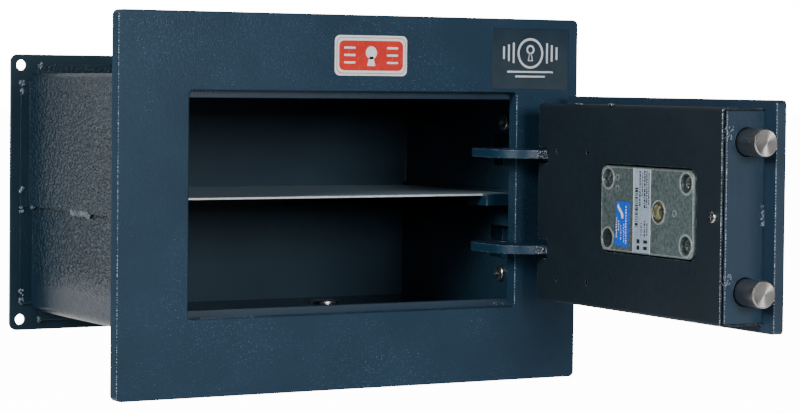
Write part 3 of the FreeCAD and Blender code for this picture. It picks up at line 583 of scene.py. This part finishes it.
def body_welds():
    seam = bead(-SHELL_X, SEAM_Z, (133.0, 98.0), 1.6, 4) + bead(-SHELL_X, SEAM_Z - 0.6, (107.0, 97.0), 2.2, 5)
    seam += bead(-SHELL_X, SEAM_Z, (209.0, 201.0), 1.8, 6)
    weld("seam_weld", FIXED, "safe_body", WELD_PAINT, seam)
    mirrored = [((-x, y, z), size) for (x, y, z), size in seam]
    weld("seam_weld_right", FIXED, "safe_body", WELD_PAINT, mirrored)
    ends = [(side * FLANGE_X, FLANGE_Y, z) for side in (1, -1) for z in (81.5, 75.0, 2.0, -12.5, -74.5, -81.0)]
    ends += [(side * 156.0, FLANGE_Y, z) for side in (1, -1) for z in (95.0, -95.0)]
    # Pale drops paint the glints on the flange welds.
    patches = [(spot, (1.7, 0.3, 2.3), 11, 0.85) for spot in ends]
    spatter("flange_weld", FIXED, "safe_body", GLINT_PAINTED_DROPS, patches)
    behind = [((side * 164.6, LIP_Y, z), (1.6, 1.3, 9.0)) for side in (1, -1) for z in (70, 30, -30, -70)]
    weld("frame_weld", FIXED, "safe_body", ARM_PAINT, behind)
    # Pale drops along the stops' edges paint glints there.
    spatter("stop_spatter", FIXED, "safe_body", GLINT_PAINTED_DROPS,
            [((-117.0, 10.0, 77.6), (12.0, 0.1, 0.7), 26, 0.35),
             ((-104.0, 5.0, -78.45), (26.0, 4.0, 0.05), 46, 0.35),
             ((124.0, 10.0, -77.0), (5.0, 0.1, 1.0), 14, 0.35)])


def painted_edge_highlights():
    """Pale beads strung along the edges that face the light, painting the dotted highlights there; an edge is
    its place and half length.
    """
    frame_edges = (((-184.52, 0.20), 130.0), ((132.24, 0.26), 76.0))
    door_edges = (((-129.42, 7.74), 74.0), ((-117.25, 41.85), 70.0), ((-117.35, 38.0), 68.5))
    lines = (("frame_edge_drops", FIXED, "safe_body", frame_edges),
             ("door_edge_drops", DOOR, "door", door_edges))
    for name, place, body, edges in lines:
        bm = bmesh.new()
        dice = random.Random(len(name))
        for (x, y), reach in edges:
            z = -reach
            while z < reach:
                size = dice.uniform(0.2, 0.4)
                blob(bm, (x, y, z), (size, size, size * dice.uniform(1.0, 2.2)), int(z * 10), detail=1)
                z += dice.uniform(0.9, 2.4)
        shape(name, bm, place, body, EDGE_HIGHLIGHT_BEADS)


# ---- inside of the body ----
def shelf_edge():
    """The sheared front edge of the shelf, bare of paint and painted near white for the highlight the light
    puts on it.
    """
    bm = bmesh.new()
    outline = [(-SHELF_HALF, 0.95), (SHELF_HALF, 0.95), (SHELF_HALF, 2.35), (-SHELF_HALF, 2.35)]
    prism(bm, outline, SHELF_FRONT, SHELF_FRONT + 0.1)
    shape("shelf_edge", bm, FIXED, "safe_body", BARE_EDGE_HIGHLIGHT)


def corner_seams():
    """Thin lines of filler up the inner corners at the rear plate, lightened as a painted highlight so they
    show in the unlit corners.
    """
    bm = bmesh.new()
    for side in (1, -1):
        near, far = side * WALL_X, side * (WALL_X + 0.4)
        for z0, z1 in ((-82.0, 0.0), (3.2, 82.0)):
            prism(bm, [(near, z0), (far, z0), (far, z1), (near, z1)], 211.2, 212.0)
    shape("corner_seam", bm, FIXED, "safe_body", FILLER_WITH_PAINTED_HIGHLIGHT)


# ---- outside of the door ----
KEYS = (("1", "2", "3"), ("4", "5", "6"), ("7", "8", "9"), ("clear", "0", "enter"))


def key_figure(name, digit, x, z):
    text = bpy.data.curves.new(name + "_figure", "FONT")
    text.body = digit
    text.size = 7.4
    text.extrude = 0.06
    text.align_x, text.align_y = "CENTER", "CENTER"
    figure = bpy.data.objects.new(name + "_figure", text)
    upright = Matrix.Translation((x, KEYPAD_FACE - 0.02, z)) @ Matrix.Rotation(math.pi / 2, 4, "X")
    figure.matrix_world = DOOR @ upright
    text.materials.append(WHITE_GLOSS)
    bpy.context.scene.collection.objects.link(figure)
    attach(figure, name)


def key_signs():
    """Figures on the number keys; a bar on the clear key and a ring on the enter key."""
    for row, keys in enumerate(KEYS):
        for column, key in enumerate(keys):
            name = "key_" + key
            x, z = KEYPAD_X + KEY_COLUMN * (column - 1), TOP_KEY_Z - KEY_ROW * row
            if key.isdigit():
                key_figure(name, key, x, z)
                continue
            bm = bmesh.new()
            if key == "clear":
                prism(bm, rounded(x - 2.6, x + 2.6, z - 0.55, z + 0.55, 0.5), KEYPAD_FACE - INK, KEYPAD_FACE)
            else:
                ring(bm, circle(x, z, 2.6), circle(x, z, 1.8), KEYPAD_FACE - INK, KEYPAD_FACE)
            shape(name + "_figure", bm, DOOR, name, WHITE_GLOSS)


def door_outside():
    bm = bmesh.new()
    ring(bm, rounded(-83.2, -12.8, -23.6, 46.2, 4.0), rounded(-82.6, -13.4, -23.0, 45.6, 3.6), -20.12, -20.0)
    shape("keypad_line", bm, DOOR, "door", PALE_INK)
    bm = bmesh.new()
    for x in (-18.0, 0.0, 18.0):
        prism(bm, circle(KEYPAD_X + x, -34.0, 0.9, 20), -20.75, -20.6)
    shape("lid_dots", bm, DOOR, "door", PALE_INK)
    bm = bmesh.new()
    blob(bm, (KEYPAD_X, -20.1, 43.0), (1.3, 0.9, 1.3), 3)
    shape("keypad_lamp", bm, DOOR, "door", RED_INK)
    bm = bmesh.new()
    ring(bm, circle(KNOB_X, 0, 12.2), circle(KNOB_X, 0, 11.4), KNOB_FACE, KNOB_FACE + 0.15)
    prism(bm, rounded(KNOB_X - 0.6, KNOB_X + 0.6, 3.5, 10.0, 0.5), KNOB_FACE, KNOB_FACE + 0.15)
    shape("knob_mark", bm, DOOR, "knob", PALE_INK)


frame_labels()
lock_labels()
lock_face()
door_welds_and_glint_drops()
body_welds()
painted_edge_highlights()
shelf_edge()
corner_seams()
key_signs()
door_outside()


# ---- stage, light and camera ----
def stage_floor():
    bm = bmesh.new()
    low = CAD_BOX[0][2]
    reach = 14.0
    for corner in ((-reach, -reach), (reach, -reach), (reach, reach), (-reach, reach)):
        bm.verts.new((corner[0], corner[1], low - 0.0005))
    bm.faces.new(bm.verts)
    mesh = bpy.data.meshes.new("floor")
    bm.to_mesh(mesh)
    bm.free()
    g = Graph("pale_floor")
    g.put(Base_Color=g.mix(g.noise(3.0), (0.90, 0.90, 0.90), (0.93, 0.93, 0.93)), Roughness=0.9)
    g.put(Emission_Color=(1.0, 1.0, 1.0, 1.0), Emission_Strength=14.0)
    mesh.materials.append(g.mat)
    floor = bpy.data.objects.new("floor", mesh)
    bpy.context.scene.collection.objects.link(floor)
    floor.visible_diffuse = floor.visible_glossy = False


def area_light(name, place, target, size, power):
    data = bpy.data.lights.new(name, "AREA")
    data.shape = "RECTANGLE"
    data.size, data.size_y = size
    data.energy = power
    lamp = bpy.data.objects.new(name, data)
    lamp.location = place
    lamp.rotation_euler = (Vector(target) - Vector(place)).to_track_quat("-Z", "Y").to_euler()
    bpy.context.scene.collection.objects.link(lamp)


def set_light():
    """A white studio: bright behind and under the safe, dimmer in front, with three soft lamps."""
    world = bpy.data.worlds.new("studio")
    bpy.context.scene.world = world
    world.use_nodes = True
    tree = world.node_tree
    back = tree.nodes["Background"]
    where = tree.nodes.new("ShaderNodeTexCoord").outputs["Generated"]
    low = tree.nodes.new("ShaderNodeVectorMath")
    low.operation = "DOT_PRODUCT"
    tree.links.new(where, low.inputs[0])
    low.inputs[1].default_value = (0.0, 0.3, -1.0)
    deep = tree.nodes.new("ShaderNodeSeparateXYZ")
    tree.links.new(where, deep.inputs[0])
    parts = []
    behind, under = (0.2, 0.95, 0.05, 0.52), (0.18, 0.34, 0.0, 1.1)
    for value, numbers in ((deep.outputs["Y"], behind), (low.outputs["Value"], under)):
        part = tree.nodes.new("ShaderNodeMapRange")
        tree.links.new(value, part.inputs["Value"])
        for i, number in enumerate(numbers, 1):
            part.inputs[i].default_value = number
        parts.append(part.outputs["Result"])
    ambient = tree.nodes.new("ShaderNodeMath")
    ambient.operation = "MAXIMUM"
    for i, part in enumerate(parts):
        tree.links.new(part, ambient.inputs[i])
    direct = tree.nodes.new("ShaderNodeLightPath").outputs["Is Camera Ray"]
    strength = tree.nodes.new("ShaderNodeMix")
    tree.links.new(direct, strength.inputs["Factor"])
    tree.links.new(ambient.outputs[0], strength.inputs["A"])
    strength.inputs["B"].default_value = 16.0
    tree.links.new(strength.outputs["Result"], back.inputs["Strength"])
    back.inputs["Color"].default_value = (1.0, 1.0, 1.0, 1.0)
    area_light("key", (-0.05, -3.2, 0.66), (0.0, 0.0, 0.0), (1.15, 0.8), 60)
    area_light("fill", (1.0, -2.2, -0.3), (0.12, 0.0, -0.1), (1.4, 0.9), 3)
    area_light("left", (-2.3, -1.05, 0.9), (0.0, 0.0, 0.0), (0.7, 0.7), 58)


def set_camera():
    """The camera at the viewing angle: place, direction, tilt and focal length."""
    place = Vector((-0.87764, front_y - 1.57941, 0.08586))
    yaw, pitch, roll = (math.radians(a) for a in (29.99, 1.95, 0.61))
    ahead = Vector((math.sin(yaw) * math.cos(pitch), math.cos(yaw) * math.cos(pitch), -math.sin(pitch)))
    right = Vector((math.cos(yaw), -math.sin(yaw), 0))
    down = ahead.cross(right)
    turned_right = right * math.cos(roll) - down * math.sin(roll)
    turned_down = right * math.sin(roll) + down * math.cos(roll)
    data = bpy.data.cameras.new("camera")
    data.sensor_width = 36.0
    data.lens = 115.06
    data.shift_y = -0.0477
    data.clip_start, data.clip_end = 0.05, 60.0
    camera = bpy.data.objects.new("camera", data)
    camera.matrix_world = (Matrix.Translation(place)
                           @ Matrix((turned_right, -turned_down, -ahead)).transposed().to_4x4())
    bpy.context.scene.collection.objects.link(camera)
    bpy.context.scene.camera = camera


stage_floor()
set_light()
set_camera()
